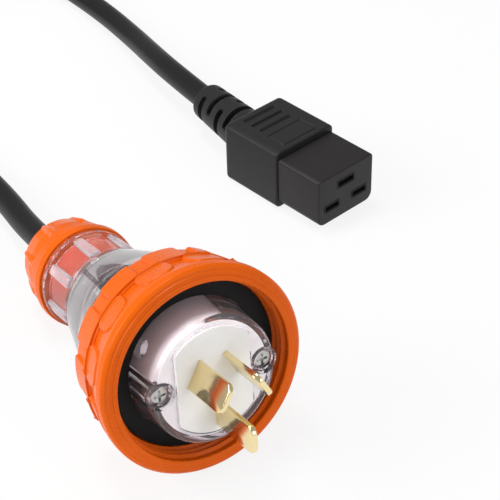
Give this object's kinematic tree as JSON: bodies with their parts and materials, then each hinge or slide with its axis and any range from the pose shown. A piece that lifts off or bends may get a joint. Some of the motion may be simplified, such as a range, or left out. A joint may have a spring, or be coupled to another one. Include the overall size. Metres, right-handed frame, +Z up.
{
  "type": "c19 power lead connector",
  "caption": "Moulded C19 power connector on a black mains cord that ends in a sealed flat-pin plug with a clear body and an orange coupling ring.",
  "frame": {"origin": "centre of the connector's own box on the surface that it lies on", "axes": "+X out of the connector's mating face, +Z up, +Y to its left"},
  "size_m": [0.4512, 0.1866, 0.0669],
  "materials": {
    "overmould": "fine matt moulded PVC",
    "nose": "satin hard plastic",
    "contact": "plain",
    "core_brown": "satin",
    "core_blue": "satin",
    "core_green": "satin, yellow stripe",
    "cord": "satin PVC sheath",
    "tie": "woven hook and loop band",
    "orange": "semi-gloss moulded",
    "clear": "clear polycarbonate",
    "white": "satin",
    "pin": "polished",
    "gasket": "matt",
    "screw": "bright plated",
    "grey": "satin",
    "seal": "matt"
  },
  "bodies": {
    "lead": {"connector_nose": "nose", "contact_live": "contact", "contact_neutral": "contact", "contact_earth": "contact", "connector_sheath": "cord", "connector_core_live": "core_brown", "connector_core_neutral": "core_blue", "connector_core_earth": "core_green", "connector_overmould": "overmould", "cord_to_connector": "cord", "cord_coil": "cord", "cord_tie": "tie", "cord_to_plug": "cord", "plug_gasket": "gasket", "plug_front_cap": "clear", "pin_carrier": "white", "pin_active": "pin", "pin_neutral": "pin", "pin_earth": "pin", "terminal_screws": "screw", "front_screws": "screw", "plug_rear_shell": "clear", "shell_seal": "seal", "cord_clamp": "grey", "clamp_screws": "screw", "gland_nut": "orange", "gland_washer": "grey", "gland_seal": "seal", "plug_sheath": "cord", "plug_core_active": "core_brown", "plug_core_neutral": "core_blue", "plug_core_earth": "core_green"},
    "ring": {"coupling_ring": "orange"}
  },
  "joints": [
    {"name": "ring_turn", "type": "hinge", "parent": "lead", "child": "ring", "pos_m": [0.07389, -0.11256, 0.02909], "axis": [0.9621, -0.1783, 0.2063], "continuous": true}
  ]
}
